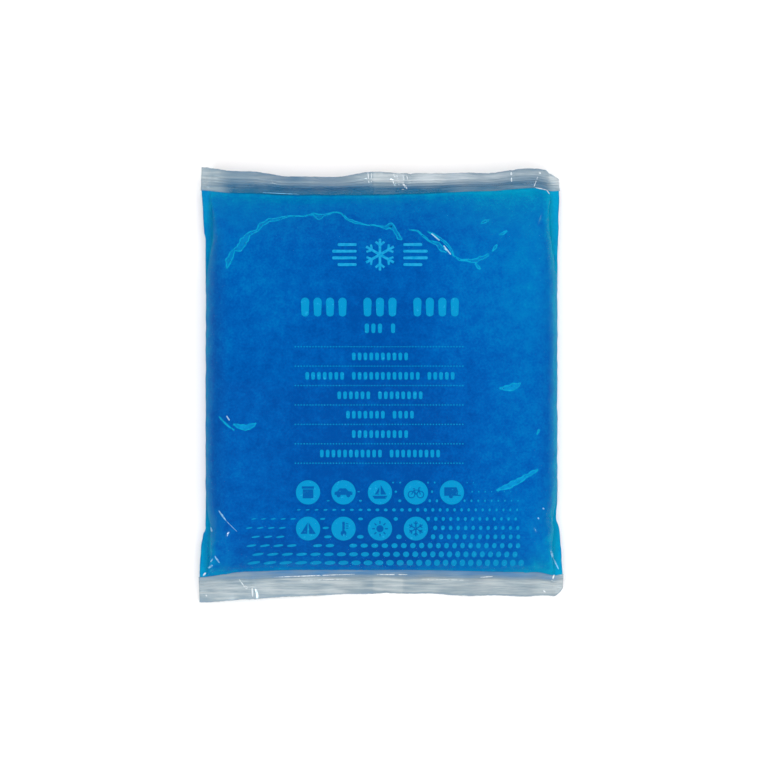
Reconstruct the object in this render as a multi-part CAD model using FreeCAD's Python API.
"""A soft gel ice pack lying on its back, with its printed face up.

One sheet of clear film is wrapped into a tube, welded down its back, and welded flat across both
ends round a filling of blue gel. X runs across the pack, Y along it, and Z up from what it lies on.
"""
import FreeCAD, Part
import math
import os

# Film, in millimetres
tube_width = 175.0  # the film tube pressed flat
film_thickness = 0.15  # one layer of the laminate

# Gel
gel_length = 179.7  # from seal to seal along the middle
gel_depth = 21.5
side_draw = 2.9  # how far the filling draws each side in
seal_height = 7.4  # the end seals and the folds down the sides, above what the pack lies on
bottom_top_slope = 31.0  # how far the upper film takes to level out from the bottom seal
bottom_under_slope = 16.0  # the lower film there
top_top_slope = 46.0  # the upper film from the top seal, where the gel lies thinner
top_under_slope = 21.0

# Ears: the four corners of the tube, which stay folded flat beside the end seals
ear_length = 34.0
ear_gel = 1.1  # gel left between the folded layers
ear_merge = 0.4  # how far inside the full side an ear's outline ends
ear_root = 6.0  # how far an ear reaches into the pack

# End seals
top_seal_depth = 11.6
bottom_seal_depth = 13.4
top_seal_tilt = 31.0  # degrees that it curls up by
bottom_seal_tilt = -28.0  # and that the other hangs by
top_corner_reach = 2.2  # how far a seal's corners stand out past its middle
bottom_corner_reach = 3.2
top_seal_skew = 0.9  # the top seal is welded a little off square
seal_bend = 4.0  # the radius that the film turns at, beside the gel
crimp_count = 5
crimp_pitch = 1.5
crimp_height = 0.12
crimp_lead = 0.7  # flat film before the first crimp
chamfer_reach = 5.4  # the top right corner is cut off slanting
chamfer_width = 6.0
nose_radius = 4.5  # the bottom right corner is worn round

# Back seam: both edges of the sheet welded together and folded flat against the back
seam_width = 15.0
seam_offset = 3.5  # from the middle of the pack to the middle of the seam
seam_roll = 0.8  # how wide the film rises over each edge of the seam

half_tube = tube_width / 2
half_gel = half_tube - film_thickness - side_draw
gel_top = film_thickness + gel_depth
seam_left = seam_offset - seam_width / 2
seam_right = seam_offset + seam_width / 2
seam_layers = 2 * film_thickness
beyond = 2 * gel_length  # well clear of the pack
closeness = 0.0001  # corners this near to each other are one, where four faces meet level


def flat(x, z):
    """A point of a section, drawn in the plane that Y crosses."""
    return FreeCAD.Vector(x, 0, z)


def line(start, end):
    return Part.LineSegment(start, end).toShape()


def arc(start, middle, end):
    return Part.Arc(start, middle, end).toShape()


def loop(points):
    return Part.makePolygon([*points, points[0]])


def face_within(edges):
    return Part.Face(Part.Wire(Part.sortEdges(edges)[0]))


def ring(centre, radius, angle):
    """The point of a circle in a section, at an angle in degrees up from X."""
    turn = math.radians(angle)
    return centre + flat(radius * math.cos(turn), radius * math.sin(turn))


def level_out(run, rise):
    """The radius of an arc that starts at an edge and is level when it has gone this far."""
    return (run**2 + rise**2) / (2 * rise)


def bow(top):
    """The radius and the centre of the arc that an end seal lies along, seen from above."""
    reach = top_corner_reach if top else bottom_corner_reach
    radius = level_out(half_tube, reach)
    if top:
        return radius, FreeCAD.Vector(-radius * top_seal_skew / half_tube, gel_length / 2 + radius, 0)
    return radius, FreeCAD.Vector(0, -gel_length / 2 - radius, 0)


def swept(section, top):
    """Sweep a section along an end seal. Its X is measured into the pack from the seal."""
    radius, centre = bow(top)
    spread = 2 * math.degrees(math.asin(half_tube / radius)) + 4
    solid = section.copy()
    solid.translate(flat(radius, 0))
    solid = solid.revolve(FreeCAD.Vector(0, 0, 0), FreeCAD.Vector(0, 0, 1), spread)
    solid.rotate(FreeCAD.Vector(0, 0, 0), FreeCAD.Vector(0, 0, 1), (270 if top else 90) - spread / 2)
    solid.translate(centre)
    return solid


def end_slope(top, grow):
    """A slab that narrows to one end seal over two arcs, each level where the flats start."""
    upper_run = top_top_slope if top else bottom_top_slope
    lower_run = top_under_slope if top else bottom_under_slope
    upper = level_out(upper_run, gel_top - seal_height)
    lower = level_out(lower_run, seal_height - film_thickness)
    high = flat(upper_run, gel_top - upper)
    low = flat(lower_run, film_thickness + lower)
    corners = []
    for centre, radius, side in ((high, upper + grow, 1), (low, lower + grow, -1)):
        fall = math.degrees(math.asin((seal_height - centre.z) / radius))
        edge, crest = 180 - fall, 90 * side % 360
        corners.append([ring(centre, radius, a) for a in (edge, (edge + crest) / 2, crest)])
    over, under = corners
    edges = [arc(*over), line(over[2], flat(beyond, over[2].z))]
    edges += [line(flat(beyond, over[2].z), flat(beyond, under[2].z))]
    edges += [line(flat(beyond, under[2].z), under[2]), arc(*reversed(under))]
    if grow:
        edges.append(line(under[0], over[0]))
    return swept(Part.Face(Part.Wire(edges)), top)


def drawn_out(section):
    """Extrude a section along the pack, well past both ends."""
    start = section.copy()
    start.translate(FreeCAD.Vector(0, -beyond / 2, 0))
    return start.extrude(FreeCAD.Vector(0, beyond, 0))


def long_body(grow):
    """The tube between its flats: rounded over each side above and below the fold."""
    edges = []
    for radius, turn in ((gel_top - seal_height, 90), (seal_height - film_thickness, -90)):
        centre = flat(half_gel - radius, seal_height)
        right = [ring(centre, radius + grow, turn * share) for share in (0, 0.5, 1)]
        left = [flat(-point.x, point.z) for point in right]
        edges += [arc(*right), line(right[2], left[2]), arc(*left)]
    return drawn_out(face_within(edges))


def ears(grow):
    """The folded corners, each drawing in along an S of two arcs to where the side is full."""
    outer = half_tube - film_thickness + grow
    inner = half_gel + grow - ear_merge
    middle = (outer + inner) / 2
    start = gel_length / 2 - ear_length / 3
    reach = ear_length * 2 / 3
    sag = (outer - inner) / 16
    plan = [(outer, gel_length), (outer, start), (outer - sag, start - reach / 4)]
    plan += [(middle, start - reach / 2), (inner + sag, start - reach * 3 / 4), (inner, start - reach)]
    plan += [(half_gel - ear_root, start - reach), (half_gel - ear_root, gel_length)]
    solids = []
    for across in (1, -1):
        for along in (1, -1):
            base = seal_height - ear_gel / 2 - grow
            p = [FreeCAD.Vector(across * x, along * y, base) for x, y in plan]
            edges = [line(p[0], p[1]), arc(*p[1:4]), arc(*p[3:6])]
            edges += [line(p[5], p[6]), line(p[6], p[7]), line(p[7], p[0])]
            solids.append(Part.Face(Part.Wire(edges)).extrude(flat(0, ear_gel + 2 * grow)))
    return solids


def seam_step(grow):
    """What the body gives up where it lies over the back seam."""
    low = film_thickness - grow
    step = [flat(seam_left - seam_roll, low), flat(seam_left, low + seam_layers)]
    step += [flat(seam_right, low + seam_layers), flat(seam_right + seam_roll, low)]
    step += [flat(seam_right + seam_roll, low - 1), flat(seam_left - seam_roll, low - 1)]
    return drawn_out(Part.Face(loop(step)))


def body(grow):
    """The filled part of the pouch, grown past the gel by some thickness of film."""
    slopes = end_slope(False, grow).common(end_slope(True, grow))
    tube = long_body(grow).fuse(ears(grow))
    return slopes.common([tube], closeness).cut(seam_step(grow))


def seal_line(top, off):
    """An end seal's section out from the gel, as edges this far off the middle of its layers."""
    tilt = math.radians(top_seal_tilt if top else bottom_seal_tilt)
    turn = math.copysign(1, tilt)
    centre = flat(0, seal_height + turn * seal_bend)
    radius = seal_bend - turn * off
    bend = [ring(centre, radius, -90 * turn - math.degrees(tilt) * share) for share in (0, 0.5, 1)]
    outward = flat(-math.cos(tilt), math.sin(tilt))
    upward = flat(math.sin(tilt), math.cos(tilt))
    points = [bend[2]]
    for k in range(2 * crimp_count + 1):
        run = crimp_lead + k * crimp_pitch / 2
        points.append(bend[2] + outward * run + upward * crimp_height * (k % 2))
    depth = (top_seal_depth if top else bottom_seal_depth) - seal_bend * abs(tilt)
    points.append(bend[2] + outward * depth)
    return [arc(*bend)] + [line(start, end) for start, end in zip(points, points[1:])]


def seal_layers(top, low, high):
    """An end seal's layers between two levels off the middle of them, swept along the seal."""
    over, under = seal_line(top, high), seal_line(top, low)
    ends = [(e[0].Vertexes[0].Point, e[-1].Vertexes[1].Point) for e in (over, under)]
    closing = [line(ends[0][0], ends[1][0]), line(ends[0][1], ends[1][1])]
    return swept(face_within(over + under + closing), top)


def slab(left, right, low, high):
    """A box between two places across the pack and two heights, longer than the pack."""
    corner = FreeCAD.Vector(left, -beyond / 2, low)
    return Part.makeBox(right - left, beyond, high - low, corner)


def seal_corner(top):
    """Where an end seal's outer edge would meet its right side."""
    radius, centre = bow(top)
    tip = seal_line(top, 0)[-1].Vertexes[1].Point.x
    run = math.sqrt((radius + tip) ** 2 - (half_tube - centre.x) ** 2)
    return FreeCAD.Vector(half_tube, centre.y - run if top else centre.y + run, 0)


def cut_corners():
    """What is missing from the right corners of the two seals."""
    tip = seal_corner(True)
    start = tip + FreeCAD.Vector(chamfer_width, -2 * chamfer_reach, 0)
    end = tip + FreeCAD.Vector(-2 * chamfer_width, chamfer_reach, 0)
    slanted = Part.Face(loop([start, end, FreeCAD.Vector(start.x, end.y, 0)]))
    tip = seal_corner(False)
    centre = tip + FreeCAD.Vector(-nose_radius, nose_radius, 0)
    corner = centre - FreeCAD.Vector(0, 2 * nose_radius, 0)
    square = Part.makeBox(2 * nose_radius, 2 * nose_radius, gel_top, corner)
    worn = square.cut(Part.makeCylinder(nose_radius, gel_top, centre))
    return [slanted.extrude(flat(0, 2 * gel_top)), worn]


def end_seals():
    """Both end seals, as wide as the flat tube, with the back seam's layers under them."""
    width = slab(-half_tube, half_tube, -gel_top, 2 * gel_top)
    seam = slab(seam_left, seam_right, -gel_top, 2 * gel_top)
    solids = []
    for top in (False, True):
        solids.append(seal_layers(top, -film_thickness, film_thickness).common(width))
        solids.append(seal_layers(top, -film_thickness - seam_layers, 0).common(seam))
    return [solid.cut(cut_corners()) for solid in solids]


def back_seam():
    """The seam's layers under the filled part, pressed level where it lies on the table."""
    grow = film_thickness + seam_layers
    slopes = end_slope(False, grow).common(end_slope(True, grow))
    return slopes.common(slab(seam_left, seam_right, 0, seal_height))


def main():
    gel = body(0)
    pouch = body(film_thickness).fuse([back_seam(), *end_seals()]).cut(gel)
    box = pouch.optimalBoundingBox()
    base = FreeCAD.Vector(-box.Center.x, -box.Center.y, -box.ZMin)
    os.makedirs("parts", exist_ok=True)
    for name, solid in (("gel_fill", gel), ("film_pouch", pouch)):
        solid = solid.removeSplitter()
        solid.translate(base)
        solid.exportStep(f"parts/{name}.step")
        print(name, "valid:", solid.isValid(), "solids:", len(solid.Solids), "mm3:", round(solid.Volume))


main()
